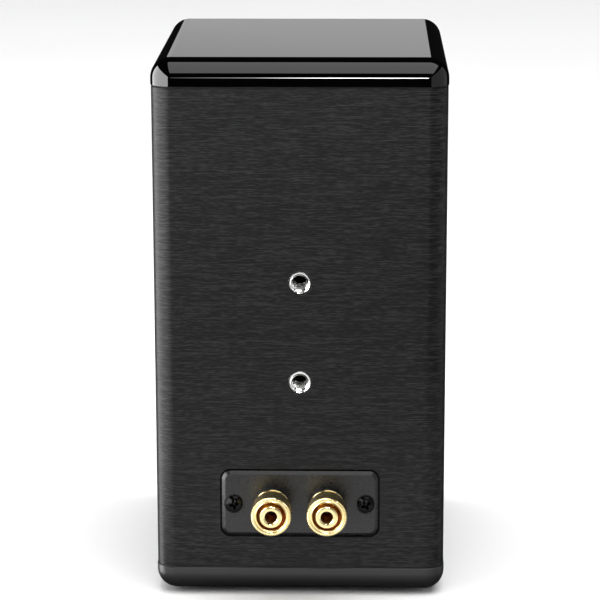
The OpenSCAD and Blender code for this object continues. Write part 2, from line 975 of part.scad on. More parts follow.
// From the solder lugs forward to the rear edge of the board.
module input_leads() {
    lug_y = rear_y + plate_out - plate_t - 1.8;
    x = post_pitch / 2;
    color("firebrick")
        for (s = [-1, 1])
            wire([
                [s * x, lug_y, post_z - 6],
                [s * x, lug_y - 4, post_z - 6.2],
                [s * x, 34, post_z - 7],
                [s * x, 30, board_z + 2.9],
                [s * x, 27, board_z + 2.6]
            ], wire_r);
}

// From the front edge of the board to the woofer's tags.
module woofer_leads() {
    tag_y = baffle_y + spider_depth + 8;
    color("dimgray")
        for (s = [-1, 1])
            wire([
                [s * 5, tag_y, woofer_z - 30.1],
                [s * 5.5, tag_y + 4, woofer_z - 30.6],
                [s * 10, -14, board_z + 3.2],
                [s * 14, -8, board_z + 2.7],
                [s * 15, -6, board_z + 2.6]
            ], wire_r);
}

// From the board up the inner sides to the back of the tweeter.
module tweeter_leads() {
    color("steelblue")
        for (s = [-1, 1])
            wire([
                [s * 28, 12, board_z + 2.8],
                [s * 28.4, 9, board_z + 3.4],
                [s * 29.5, 7.5, board_z + 6],
                [s * 32, 6, 36],
                [s * 34, 4, 60],
                [s * 34, 0, 90],
                [s * 32, -14, 116],
                [s * 27, -28, 129],
                [s * 21, -34.6, 134],
                [s * 19, -35.2, 137]
            ], wire_r);
}

// A loose block of polyester wadding against the top and rear boards.
module wadding() {
    low = 133;
    front = -33;
    color("whitesmoke")
        translate([0, (front + rear_in) / 2, low])
            linear_extrude(seam_t - board_t - low) round_rect(53, rear_in - front, 8);
}

// Grille

// The frame, with one window for each driver.
module grille_frame() {
    z0 = seam_b + clear_gap + cloth_t;
    y1 = baffle_y - 0.2;
    color([0.1, 0.1, 0.1])
        difference() {
            translate([0, 0, z0])
                linear_extrude(body_h - 2 * clear_gap - 2 * cloth_t)
                    difference() {
                        body_plan(-cloth_t);
                        translate([-body_w, y1]) square([2 * body_w, body_d + 20]);
                    }
            along_y(0, front_y - 1, woofer_z) cylinder(h = grille_d + 4, r = woofer_r + 1);
            along_y(0, front_y - 1, tweeter_z) cylinder(h = grille_d + 4, r = tweeter_r + 1);
            for (s = [-1, 1], z = peg_zs)
                along_y(s * peg_x, y1 - 4, z) cylinder(h = 5, r = peg_dia / 2 + gap, $fn = 48);
        }
}

// Cloth over the front and round the four edges of the frame.
module grille_cloth() {
    z0 = seam_b + clear_gap;
    h = body_h - 2 * clear_gap;
    y1 = baffle_y - 0.2;
    color([0.07, 0.07, 0.07])
        difference() {
            translate([0, 0, z0])
                linear_extrude(h)
                    difference() {
                        body_plan(0);
                        translate([-body_w, y1]) square([2 * body_w, body_d + 20]);
                    }
            translate([0, 0, z0 + cloth_t])
                linear_extrude(h - 2 * cloth_t) body_plan(-cloth_t);
        }
}

// Pegs that stand back from the frame, with a tapered nose.
module grille_pegs() {
    y1 = baffle_y - 0.2;
    color([0.1, 0.1, 0.1])
        for (s = [-1, 1], z = peg_zs)
            along_y(s * peg_x, y1 - 4, z) {
                cylinder(h = 4 + peg_len - 1.5, r = peg_dia / 2, $fn = 48);
                translate([0, 0, 4 + peg_len - 1.5])
                    cylinder(h = 1.5, r1 = peg_dia / 2, r2 = peg_dia / 2 - 1, $fn = 48);
            }
}

// Rubber cups in the baffle that grip the pegs.
module grille_sockets() {
    depth = baffle_t - 2;
    color([0.15, 0.15, 0.15])
        for (s = [-1, 1], z = peg_zs)
            along_y(s * peg_x, baffle_y, z)
                difference() {
                    cylinder(h = depth, r = socket_r, $fn = 48);
                    translate([0, 0, -1]) cylinder(h = depth, r = socket_bore, $fn = 48);
                }
}

side_board_left();
side_board_right();
rear_board();
front_baffle();
top_board();
bottom_board();
vinyl_wrap();
top_cap();
bottom_cap();
cap_screws();
feet();
backing_block();
insert_upper();
insert_lower();
terminal_plate();
terminal_gasket();
terminal_screws();
post_left();
post_right();
solder_lugs();
post_nuts();
clamp_washer_left();
clamp_washer_right();
post_knob_left();
post_knob_right();
woofer_flange();
woofer_basket();
woofer_gasket();
woofer_screws();
woofer_top_plate();
woofer_magnet();
woofer_yoke();
woofer_tag_strip();
woofer_cone();
woofer_dust_cap();
woofer_former();
woofer_winding();
woofer_surround();
woofer_spider();
tweeter_faceplate();
tweeter_screws();
tweeter_top_plate();
tweeter_magnet();
tweeter_yoke();
tweeter_dome();
tweeter_coil();
tweeter_surround();
crossover_board();
crossover_standoffs();
crossover_coil();
crossover_capacitors();
crossover_resistor();
input_leads();
woofer_leads();
tweeter_leads();
wadding();
grille_frame();
grille_cloth();
grille_pegs();
grille_sockets();
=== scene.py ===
"""Looks of a small bookshelf speaker: wrapped cabinet, glossy caps, gold binding posts, cloth grille.

Every length is in metres, in the CAD frame: +Z up, grille towards -Y, terminals towards +Y.
"""

import json
import math

import bmesh
import bpy
from mathutils import Matrix, Vector
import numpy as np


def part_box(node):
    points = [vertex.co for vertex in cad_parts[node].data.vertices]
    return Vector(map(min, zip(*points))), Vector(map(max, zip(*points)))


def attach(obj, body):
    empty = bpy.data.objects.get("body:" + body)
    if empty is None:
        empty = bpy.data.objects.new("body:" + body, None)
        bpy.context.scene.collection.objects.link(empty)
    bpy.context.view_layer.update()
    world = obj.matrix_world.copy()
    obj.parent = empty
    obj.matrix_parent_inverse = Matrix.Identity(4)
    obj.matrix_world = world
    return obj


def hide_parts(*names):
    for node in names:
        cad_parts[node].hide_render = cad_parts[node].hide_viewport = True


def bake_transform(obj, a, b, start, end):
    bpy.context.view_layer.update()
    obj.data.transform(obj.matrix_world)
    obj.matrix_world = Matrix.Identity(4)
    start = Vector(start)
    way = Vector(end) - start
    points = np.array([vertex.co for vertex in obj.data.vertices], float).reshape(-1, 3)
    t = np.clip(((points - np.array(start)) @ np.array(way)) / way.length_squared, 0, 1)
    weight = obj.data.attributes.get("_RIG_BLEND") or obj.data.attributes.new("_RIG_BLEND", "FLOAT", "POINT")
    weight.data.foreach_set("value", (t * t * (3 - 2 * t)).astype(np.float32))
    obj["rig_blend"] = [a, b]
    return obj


MM = 0.001
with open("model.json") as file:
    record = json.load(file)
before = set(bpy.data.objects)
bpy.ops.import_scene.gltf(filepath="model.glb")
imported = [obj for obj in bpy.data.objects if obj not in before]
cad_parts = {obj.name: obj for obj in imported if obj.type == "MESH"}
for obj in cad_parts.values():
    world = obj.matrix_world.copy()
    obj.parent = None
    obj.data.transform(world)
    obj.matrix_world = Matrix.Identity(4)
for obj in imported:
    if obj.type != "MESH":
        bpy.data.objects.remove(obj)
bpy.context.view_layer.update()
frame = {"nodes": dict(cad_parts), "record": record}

# Places taken from the frame
cap_low, cap_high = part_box("top_cap")
base_low, base_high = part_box("bottom_cap")
wrap_low, wrap_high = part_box("vinyl_wrap")
plate_low, plate_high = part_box("terminal_plate")
cloth_low, cloth_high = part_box("grille_cloth")
baffle_low, baffle_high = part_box("front_baffle")
basket_low, basket_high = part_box("woofer_basket")
face_low, face_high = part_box("tweeter_faceplate")

REAR = wrap_high.y                      # rear face of the cabinet
FRONT = baffle_low.y                    # face of the baffle
MID_Y = (cap_low.y + cap_high.y) / 2
HALF_W = wrap_high.x
HALF_D = (cap_high.y - cap_low.y) / 2
PROUD = cap_high.x - wrap_high.x        # how far the caps stand proud
EDGE_R = 6.7 * MM                       # vertical edges of the cabinet
WRAP_T = 0.4 * MM
PLATE_Z = (plate_low.z + plate_high.z) / 2
PLATE_W = plate_high.x - plate_low.x
PLATE_H = plate_high.z - plate_low.z
PLATE_FACE = REAR + 0.8 * MM            # the plate's face, a little proud of the cabinet
SCREW_HEAD_R = 3.0                      # heads of the plate's screws, in mm
SCREW_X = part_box("terminal_screws")[1].x - SCREW_HEAD_R * MM
SCREW_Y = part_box("terminal_screws")[1].y
WOOFER_BOLTS = 36.5                     # radii of the drivers' bolt circles, in mm
TWEETER_BOLTS = 26.3
WOOFER_Z = (basket_low.z + basket_high.z) / 2
TWEETER_Z = (face_low.z + face_high.z) / 2


def middle(node):
    """The middle of a CAD node's box."""
    low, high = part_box(node)
    return (low + high) / 2


# ---------------------------------------------------------------- materials

class Shader:
    """One Principled material and short ways to add its nodes."""

    def __init__(self, name, colour, roughness, metallic=0.0, **sockets):
        self.material = bpy.data.materials.new(name)
        self.material.use_nodes = True
        self.tree = self.material.node_tree
        self.principled = self.tree.nodes["Principled BSDF"]
        self.set("Base Color", (*colour, 1))
        self.set("Roughness", roughness)
        self.set("Metallic", metallic)
        for socket, value in sockets.items():
            self.set(socket.replace("_", " "), value)
        self.coords = self.tree.nodes.new("ShaderNodeTexCoord").outputs["Object"]

    def set(self, socket, value):
        self.principled.inputs[socket].default_value = value

    def link(self, output, socket):
        self.tree.links.new(output, self.principled.inputs[socket])

    def node(self, kind, **inputs):
        """A node whose inputs are values or other nodes' outputs."""
        made = self.tree.nodes.new(kind)
        for name, value in inputs.items():
            socket = made.inputs[int(name[1:]) if name[0] == "_" else name.replace("_", " ")]
            if isinstance(value, bpy.types.NodeSocket):
                self.tree.links.new(value, socket)
            else:
                socket.default_value = value
        return made

    def stretched(self, scale, turn=(0, 0, 0)):
        """Object coordinates, scaled along each axis."""
        return self.node("ShaderNodeMapping", Vector=self.coords, Scale=scale,
                         Rotation=turn).outputs[0]

    def noise(self, scale, detail=4.0, roughness=0.55, vector=None, distortion=0.0):
        return self.node("ShaderNodeTexNoise", Vector=vector or self.coords, Scale=scale,
                         Detail=detail, Roughness=roughness, Distortion=distortion).outputs[0]

    def wave(self, vector, scale, direction):
        made = self.node("ShaderNodeTexWave", Vector=vector, Scale=scale)
        made.bands_direction = direction
        return made.outputs["Fac"]

    def maths(self, operation, a, b):
        made = self.node("ShaderNodeMath", _0=a, _1=b)
        made.operation = operation
        return made.outputs[0]

    def ramp(self, factor, *stops):
        """Colours or greys placed along a factor from 0 to 1."""
        made = self.node("ShaderNodeValToRGB", Fac=factor)
        ramp = made.color_ramp
        while len(ramp.elements) < len(stops):
            ramp.elements.new(0.5)
        for element, (place, value) in zip(ramp.elements, stops):
            element.position = place
            element.color = (*value, 1) if isinstance(value, tuple) else (value,) * 3 + (1,)
        return made.outputs["Color"]

    def bump(self, height, strength, distance):
        return self.node("ShaderNodeBump", Strength=strength, Distance=distance,
                         Height=height).outputs[0]

    def spread(self, noise, low, high):
        """Greys from low to high as a noise goes through its middle range."""
        return self.ramp(noise, (0.3, low), (0.7, high))


def tint(colour, factor):
    return tuple(min(1.0, c * factor) for c in colour)


def mottled(name, colour, roughness, metallic=0.0, grain=400.0, spread=0.25, depth=0.05,
            wear=0.1, **sockets):
    """A material whose colour, roughness and surface vary a little at a fine grain."""
    s = Shader(name, colour, roughness, metallic, **sockets)
    fine, broad = s.noise(grain), s.noise(grain / 12, 3.0)
    s.link(s.ramp(fine, (0.3, tint(colour, 1 - spread)), (0.7, tint(colour, 1 + spread))),
           "Base Color")
    s.link(s.spread(broad, max(0.02, roughness - wear), min(1.0, roughness + wear)), "Roughness")
    s.link(s.bump(fine, 0.6, depth * MM), "Normal")
    return s.material


def vinyl():
    """Black wrap with a fine, slightly wavy horizontal grain."""
    s = Shader("black_ash_vinyl", (0.016, 0.016, 0.017), 0.42, Specular_IOR_Level=0.18)
    drift = s.noise(1.0, 2.0, 0.5, s.stretched((55, 55, 90)))
    lifted = s.node("ShaderNodeCombineXYZ", Z=s.maths("MULTIPLY", drift, 0.0016)).outputs[0]
    moved = s.node("ShaderNodeVectorMath", _0=s.coords, _1=lifted).outputs[0]

    def streaks(across, along, detail):
        placed = s.node("ShaderNodeMapping", Vector=moved, Scale=(along, along, across))
        return s.noise(1.0, detail, 0.6, placed.outputs[0])

    coarse, fine, short = streaks(2300, 90, 2.0), streaks(4200, 150, 2.0), streaks(2600, 330, 1.0)
    grain = s.maths("ADD", s.maths("MULTIPLY", coarse, 0.65), s.maths("MULTIPLY", fine, 0.35))
    grain = s.maths("ADD", s.maths("MULTIPLY", grain, 0.6), s.maths("MULTIPLY", short, 0.4))
    s.link(s.ramp(grain, (0.42, (0.0006, 0.0006, 0.0008)), (0.5, (0.0055, 0.0055, 0.0061)),
                  (0.59, (0.02, 0.02, 0.021))), "Base Color")
    s.link(s.spread(grain, 0.46, 0.3), "Roughness")
    s.link(s.bump(grain, 0.8, 0.11 * MM), "Normal")
    return s.material


def piano_black():
    """Polished black lacquer with the faintest ripple."""
    s = Shader("piano_black", (0.0006, 0.0006, 0.0007), 0.035, IOR=1.52)
    s.link(s.spread(s.noise(900, 3.0), 0.022, 0.05), "Roughness")
    s.link(s.bump(s.noise(28, 1.0), 0.01, 0.005 * MM), "Normal")
    return s.material


def satin_black():
    s = Shader("cap_satin", (0.014, 0.014, 0.0145), 0.36, IOR=1.5)
    s.link(s.spread(s.noise(2500, 3.0), 0.32, 0.42), "Roughness")
    s.link(s.bump(s.noise(5200, 2.0), 0.12, 0.02 * MM), "Normal")
    return s.material


def moulded(name, colour, roughness, spark):
    """Black plastic with a fine moulded texture."""
    s = Shader(name, colour, roughness, Specular_IOR_Level=0.45)
    pits = s.noise(spark, 2.0, 0.7)
    s.link(s.ramp(pits, (0.35, tint(colour, 0.75)), (0.7, tint(colour, 1.35))), "Base Color")
    s.link(s.spread(s.noise(spark / 3, 2.0), roughness - 0.06, roughness + 0.06), "Roughness")
    s.link(s.bump(pits, 0.5, 0.035 * MM), "Normal")
    return s.material


def gold():
    """Bright gold plating, turned, with slight tarnish that varies at random; darker recesses are painted
    shade from a second material.
    """
    s = Shader("gold_plate", (0.95, 0.7, 0.3), 0.16, 1.0)
    tarnish = s.noise(260, 4.0)
    s.link(s.ramp(tarnish, (0.35, (0.9, 0.72, 0.35)), (0.65, (0.96, 0.81, 0.43))), "Base Color")
    s.link(s.spread(s.noise(1400, 3.0), 0.11, 0.22), "Roughness")
    s.link(s.bump(s.noise(2600, 2.0), 0.1, 0.012 * MM), "Normal")
    return s.material


def gold_painted_shade():
    """Painted shade: the gold plating made dark copper down a bore or a groove, where shade falls."""
    s = Shader("gold_painted_shade", (0.5, 0.2, 0.06), 0.3, 0.85)
    s.link(s.ramp(s.noise(420, 3.0), (0.3, (0.3, 0.12, 0.025)), (0.7, (0.5, 0.21, 0.05))),
           "Base Color")
    s.link(s.spread(s.noise(1400, 3.0), 0.24, 0.38), "Roughness")
    return s.material


def plated(name, colour, roughness):
    """Bright zinc or nickel plating with faint mottling."""
    s = Shader(name, colour, roughness, 1.0)
    s.link(s.ramp(s.noise(420, 4.0), (0.3, tint(colour, 0.8)), (0.7, tint(colour, 1.1))),
           "Base Color")
    s.link(s.spread(s.noise(1500, 3.0), roughness - 0.06, roughness + 0.08), "Roughness")
    s.link(s.bump(s.noise(2200, 2.0), 0.15, 0.02 * MM), "Normal")
    return s.material


def knit(name, colour, pitch, depth, sheen=0.3):
    """Knitted or woven cloth: two sets of threads that cross at the pitch."""
    s = Shader(name, colour, 0.85, Sheen_Weight=sheen, Sheen_Roughness=0.5,
               Specular_IOR_Level=0.25)
    turn = math.pi / 4
    count = 2 * math.pi / pitch / 20
    along = s.stretched((1, 1, 1), (0, turn, 0))
    a, b = s.wave(along, count, "X"), s.wave(along, count, "Z")
    crossed = s.maths("MULTIPLY", a, b)
    fibre = s.noise(9000, 2.0)
    height = s.maths("ADD", crossed, s.maths("MULTIPLY", fibre, 0.25))
    s.link(s.ramp(height, (0.1, tint(colour, 0.3)), (0.8, tint(colour, 1.6))), "Base Color")
    s.link(s.bump(height, 0.9, depth), "Normal")
    return s.material


def board():
    """Fibreboard, raw brown inside, made black where it shows at seams and recesses: painted shade for the
    shadow in those gaps.
    """
    s = Shader("fibreboard", (0.42, 0.29, 0.17), 0.75)
    fibres = s.noise(1.0, 4.0, 0.65, s.stretched((900, 900, 2400)))
    raw = s.ramp(fibres, (0.3, (0.3, 0.2, 0.11)), (0.7, (0.52, 0.38, 0.24)))
    place = s.node("ShaderNodeSeparateXYZ", Vector=s.coords)
    edge = 3.5 * MM
    # painted shade: a mask near the ends by the caps, near the rear and near the baffle's face, standing for
    # the shadow in the gaps
    seams = s.maths("MAXIMUM", s.maths("GREATER_THAN", place.outputs[2], wrap_high.z - edge),
                    s.maths("LESS_THAN", place.outputs[2], wrap_low.z + edge))
    rear = s.maths("GREATER_THAN", place.outputs[1], REAR - edge)
    front = s.maths("LESS_THAN", place.outputs[1], FRONT + edge)
    gap_shade_paint = s.maths("MAXIMUM", seams, s.maths("MAXIMUM", rear, front))
    # the painted shade's near-black colour is mixed in where the mask is set
    mixed = s.node("ShaderNodeMix")
    mixed.data_type = "RGBA"
    s.tree.links.new(gap_shade_paint, mixed.inputs["Factor"])
    s.tree.links.new(raw, mixed.inputs["A"])
    mixed.inputs["B"].default_value = (0.004, 0.004, 0.004, 1)
    s.link(mixed.outputs["Result"], "Base Color")
    s.link(s.spread(fibres, 0.65, 0.85), "Roughness")
    s.link(s.bump(fibres, 0.4, 0.08 * MM), "Normal")
    return s.material


def winding(name, colour, axis, pitch):
    """Enamelled wire wound round an axis."""
    s = Shader(name, colour, 0.3, 0.7)
    turns = s.wave(s.coords, 2 * math.pi / pitch / 20, axis)
    s.link(s.ramp(turns, (0.1, tint(colour, 0.4)), (0.7, colour)), "Base Color")
    s.link(s.spread(s.noise(2000), 0.22, 0.4), "Roughness")
    s.link(s.bump(turns, 0.8, 0.12 * MM), "Normal")
    return s.material


def cone_paper():
    """Pressed pulp with a satin coating."""
    s = Shader("cone_paper", (0.028, 0.028, 0.031), 0.5, Specular_IOR_Level=0.4)
    fibres = s.noise(1900, 5.0, 0.7, distortion=1.5)
    s.link(s.ramp(fibres, (0.3, (0.016, 0.016, 0.018)), (0.7, (0.045, 0.045, 0.05))),
           "Base Color")
    s.link(s.spread(s.noise(300, 3.0), 0.4, 0.6), "Roughness")
    s.link(s.bump(fibres, 0.5, 0.09 * MM), "Normal")
    return s.material


gold_plate = gold()
# painted shade: dark copper gold that stands for the shade down the posts' bores and the knobs' grooves
recess_painted_shade = gold_painted_shade()
nickel = plated("insert_nickel", (0.86, 0.86, 0.85), 0.14)
zinc = plated("zinc_steel", (0.66, 0.66, 0.64), 0.25)
LOOKS = {
    "mdf": board(),
    "baffle_black": mottled("baffle_black", (0.012, 0.012, 0.012), 0.62, grain=1600, depth=0.03),
    "black_ash_vinyl": vinyl(),
    "cap_gloss": piano_black(),
    "cap_satin": satin_black(),
    "foot_rubber": mottled("foot_rubber", (0.02, 0.02, 0.021), 0.8, grain=2400, depth=0.04),
    "zinc_steel": zinc,
    "insert_nickel": nickel,
    "plate_plastic": moulded("plate_plastic", (0.006, 0.006, 0.0065), 0.3, 3400),
    "foam": mottled("foam", (0.02, 0.02, 0.02), 0.9, grain=3000, spread=0.5, depth=0.15),
    "black_screw": mottled("black_screw", (0.0015, 0.0015, 0.0015), 0.2, 0.0, 1200, 0.3, 0.012,
                           Specular_IOR_Level=0.12),
    "gold_plate": gold_plate,
    "tinned_brass": plated("tinned_brass", (0.7, 0.62, 0.42), 0.3),
    "basket_steel": mottled("basket_steel", (0.016, 0.016, 0.018), 0.5, 0.1, 2600, 0.3, 0.03),
    "ferrite": mottled("ferrite", (0.06, 0.06, 0.065), 0.7, 0.1, 900, 0.4, 0.06),
    "tag_board": mottled("tag_board", (0.26, 0.14, 0.06), 0.5, grain=1500),
    "cone_paper": cone_paper(),
    "former_kapton": mottled("former_kapton", (0.5, 0.3, 0.08), 0.35, grain=700, depth=0.01),
    "copper_winding": winding("copper_winding", (0.62, 0.24, 0.09), "Y", 0.35 * MM),
    "surround_rubber": mottled("surround_rubber", (0.013, 0.013, 0.0135), 0.5, grain=2200,
                               spread=0.2, depth=0.02),
    "spider_cloth": knit("spider_cloth", (0.6, 0.46, 0.2), 0.5 * MM, 0.1 * MM),
    "faceplate_plastic": moulded("faceplate_plastic", (0.014, 0.014, 0.0145), 0.4, 3000),
    "dome_silk": knit("dome_silk", (0.045, 0.045, 0.05), 0.25 * MM, 0.05 * MM, 0.5),
    "circuit_board": mottled("circuit_board", (0.02, 0.16, 0.05), 0.4, grain=900),
    "nylon": mottled("nylon", (0.78, 0.78, 0.74), 0.5, grain=700, spread=0.06),
    "capacitor_film": mottled("capacitor_film", (0.42, 0.05, 0.03), 0.25, grain=500, depth=0.02),
    "resistor_cement": mottled("resistor_cement", (0.76, 0.73, 0.64), 0.85, grain=1500,
                               spread=0.12, depth=0.1),
    "lead_pvc_red": mottled("lead_pvc_red", (0.4, 0.03, 0.03), 0.45, grain=800, depth=0.02),
    "lead_pvc_grey": mottled("lead_pvc_grey", (0.1, 0.1, 0.1), 0.45, grain=800, depth=0.02),
    "lead_pvc_blue": mottled("lead_pvc_blue", (0.04, 0.1, 0.32), 0.45, grain=800, depth=0.02),
    "polyester_wadding": mottled("polyester_wadding", (0.82, 0.82, 0.8), 0.95, grain=700,
                                 spread=0.12, depth=1.2),
    "grille_plastic": moulded("grille_plastic", (0.015, 0.015, 0.015), 0.5, 2600),
    "grille_fabric": knit("grille_fabric", (0.018, 0.018, 0.0185), 0.62 * MM, 0.16 * MM),
    "socket_rubber": mottled("socket_rubber", (0.02, 0.02, 0.02), 0.75, grain=2000),
}


# ---------------------------------------------------------------- mesh tools

def mesh_object(name, verts, faces, crease=32):
    """A mesh object, smooth except across edges sharper than the crease angle in degrees."""
    mesh = bpy.data.meshes.new(name)
    mesh.from_pydata([tuple(v) for v in verts], [], faces)
    bm = bmesh.new()
    bm.from_mesh(mesh)
    bmesh.ops.remove_doubles(bm, verts=bm.verts, dist=1e-7)
    bmesh.ops.recalc_face_normals(bm, faces=bm.faces)
    bm.to_mesh(mesh)
    bm.free()
    obj = bpy.data.objects.new(name, mesh)
    bpy.context.scene.collection.objects.link(obj)
    shade(obj, crease)
    return obj


def shade(obj, crease):
    """Smooth faces, with every edge sharper than the crease angle, or open, kept sharp."""
    bm = bmesh.new()
    bm.from_mesh(obj.data)
    for face in bm.faces:
        face.smooth = True
    for edge in bm.edges:
        edge.smooth = len(edge.link_faces) == 2 and \
            edge.calc_face_angle(0) < math.radians(crease)
    bm.to_mesh(obj.data)
    bm.free()


def place(obj, slot, body, *nodes):
    """Gives a piece the material of its slot, lets it ride on a body and stand for CAD nodes."""
    obj.data.materials.clear()
    obj.data.materials.append(LOOKS[slot])
    if body:
        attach(obj, body)
    if nodes:
        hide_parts(*nodes)
    return obj


def darken(obj, centre, inner, outer, before):
    """Gives the faces of a gold piece between two radii, and behind a depth, the dark copper gold of painted
    shade.
    """
    obj.data.materials.append(recess_painted_shade)
    for face in obj.data.polygons:
        spot = face.center
        r = math.hypot(spot.x - centre[0], spot.z - centre[1])
        if inner < r < outer and spot.y < before:
            face.material_index = 1


def rounded(hw, hh, radius, steps=12):
    """The points of a rectangle with round corners, counter-clockwise.

    A point on each side of every corner keeps the shading of the straight sides flat.
    """
    radius = max(radius, 1e-5)
    hold = 0.4 * MM if min(hw, hh) - radius > 1 * MM else 0
    points = []
    for quarter, (sx, sy) in enumerate(((1, 1), (-1, 1), (-1, -1), (1, -1))):
        turns = [(math.pi / 2 * (quarter + k / steps), 0) for k in range(steps + 1)]
        if hold:
            turns = [(turns[0][0], -hold)] + turns + [(turns[-1][0], hold)]
        for a, on in turns:
            points.append((sx * (hw - radius) + radius * math.cos(a) - on * math.sin(a),
                           sy * (hh - radius) + radius * math.sin(a) + on * math.cos(a)))
    return points


def loft(name, rings, crease=32):
    """Joins rings of equally many points, with flat ends."""
    count = len(rings[0])
    verts = [v for ring in rings for v in ring]
    faces = []
    for i in range(len(rings) - 1):
        j = i + 1
        for k in range(count):
            n = (k + 1) % count
            faces.append((i * count + k, i * count + n, j * count + n, j * count + k))
    faces.append(tuple(reversed(range(count))))
    faces.append(tuple(range((len(rings) - 1) * count, len(rings) * count)))
    return mesh_object(name, verts, faces, crease)


def soften(points, radius, closed=False, steps=4):
    """Rounds the corners of a profile."""
    made = []
    for i, point in enumerate(points):
        if not closed and i in (0, len(points) - 1):
            made.append(Vector(point))
            continue
        p = Vector(point)
        back, ahead = Vector(points[i - 1]) - p, Vector(points[(i + 1) % len(points)]) - p
        cut = min(radius, back.length * 0.45, ahead.length * 0.45)
        a, b = p + back.normalized() * cut, p + ahead.normalized() * cut
        for k in range(steps + 1):
            t = k / steps
            made.append(a * (1 - t) ** 2 + p * (2 * t * (1 - t)) + b * t * t)
    return made


def lathe(name, profile, centre, segments=96, closed=False, crease=32, radius=None):
    """Turns a profile of (radius, depth towards +Y), in mm, about the Y axis through a centre.

    radius(r, angle, depth) may change each point's radius, for knurls and threads.
    """
    cx, cy, cz = centre
    verts, faces = [], []
    for r, d in profile:
        for k in range(segments):
            a = 2 * math.pi * k / segments
            rr = radius(r, a, d) if radius else r
            verts.append((cx + rr * MM * math.cos(a), cy + d * MM, cz + rr * MM * math.sin(a)))
    rows = len(profile)
    for i in range(rows if closed else rows - 1):
        j = (i + 1) % rows
        for k in range(segments):
            n = (k + 1) % segments
            faces.append((i * segments + k, i * segments + n, j * segments + n, j * segments + k))
    if not closed:
        for row in (0, rows - 1):
            if profile[row][0] > 1e-6:
                faces.append(tuple(row * segments + k for k in range(segments)))
    return mesh_object(name, verts, faces, crease)


def cut(obj, *tools, crease=32):
    """Cuts the tools' shapes out of a piece and removes the tools."""
    for tool in tools:
        step = obj.modifiers.new("cut", "BOOLEAN")
        step.operation, step.solver, step.object = "DIFFERENCE", "EXACT", tool
    graph = bpy.context.evaluated_depsgraph_get()
    mesh = bpy.data.meshes.new_from_object(obj.evaluated_get(graph))
    obj.modifiers.clear()
    obj.data = mesh
    for tool in tools:
        bpy.data.objects.remove(tool)
    shade(obj, crease)
    return obj


def join(name, objects):
    """Makes one object of several."""
    bm = bmesh.new()
    for obj in objects:
        obj.data.transform(obj.matrix_basis)
        bm.from_mesh(obj.data)
        bpy.data.objects.remove(obj)
    mesh = bpy.data.meshes.new(name)
    bm.to_mesh(mesh)
    bm.free()
    made = bpy.data.objects.new(name, mesh)
    bpy.context.scene.collection.objects.link(made)
    return made


def ring_at(points, inset_y, centre):
    """A ring in the XZ plane at one depth."""
    cx, cy, cz = centre
    return [(cx + x, cy + inset_y, cz + z) for x, z in points]


# ---------------------------------------------------------------- cabinet

def cap(name, slot, node, seam, direction, height):
    """An end cap: a short lip, then an edge rounded all the way to the flat face."""
    radius = EDGE_R + PROUD
    lip = height - radius
    hw, hd = HALF_W + PROUD, HALF_D
    chamfer = 0.18 * MM
    levels = [(chamfer * 4, 0), (chamfer, 0), (0, chamfer), (0, lip)]
    turns = 20
    for k in range(1, turns + 1):
        a = math.pi / 2 * k / turns
        levels.append((radius * (1 - math.cos(a)), lip + radius * math.sin(a)))
    rings = []
    for inset, up in levels:
        outline = rounded(hw - inset, hd - inset, radius - inset, 16)
        rings.append([(x, MID_Y + y, seam + direction * up) for x, y in outline])
    return place(loft(name, rings, 40), slot, "cabinet", node)


def wrap():
    """The vinyl skin, as one U-shaped sheet with turned edges round its openings."""
    outer = rounded(HALF_W, (REAR - MID_Y), EDGE_R, 16)
    inner = rounded(HALF_W - WRAP_T, (REAR - MID_Y) - WRAP_T, EDGE_R - WRAP_T, 16)
    quarter = len(outer) // 4
    path = [(HALF_W, FRONT - MID_Y)] + outer[:2 * quarter] + [(-HALF_W, FRONT - MID_Y)]
    back = [(HALF_W - WRAP_T, FRONT - MID_Y)] + inner[:2 * quarter] + \
        [(WRAP_T - HALF_W, FRONT - MID_Y)]
    outline = path + back[::-1]
    roll = 0.12 * MM
    rings = []
    for z, inset in ((wrap_low.z, roll), (wrap_low.z + roll, 0), (wrap_high.z - roll, 0),
                     (wrap_high.z, roll)):
        ring = []
        for i, (x, y) in enumerate(outline):
            shrink = 1 - inset / HALF_W if i < len(path) else 1
            ring.append((x * shrink, MID_Y + y * shrink, z))
        rings.append(ring)
    skin = loft("cabinet_wrap", rings, 30)
    hole_r = [(4.4, -2), (4.4, 1)]
    tools = [lathe("hole", hole_r, (0, REAR, middle(n).z), 64)
             for n in ("insert_upper", "insert_lower")]
    gap = 0.65 * MM
    recess = rounded(PLATE_W / 2 + gap, PLATE_H / 2 + gap, 3.65 * MM, 12)
    tools.append(loft("recess", [ring_at(recess, y, (0, REAR, PLATE_Z))
                                 for y in (-2 * MM, 1 * MM)]))
    return place(cut(skin, *tools), "black_ash_vinyl", "cabinet", "vinyl_wrap")


def feet():
    """Four rubber feet with a rounded rim."""
    low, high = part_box("feet")
    radius = 5.0
    show = (base_low.z - low.z) / MM
    profile = soften([(0, 0), (radius, 0), (radius, show + 0.6), (0, show + 0.6)], 0.35)
    made = []
    for x in (low.x + radius * MM, high.x - radius * MM):
        for y in (low.y + radius * MM, high.y - radius * MM):
            foot = lathe("foot", profile, (0, 0, 0), 48)
            foot.data.transform(Matrix.Translation((x, y, low.z)) @
                                Matrix.Rotation(math.pi / 2, 4, "X"))
            made.append(foot)
    return place(join("rubber_feet", made), "foot_rubber", "cabinet", "feet")


# ---------------------------------------------------------------- rear fittings

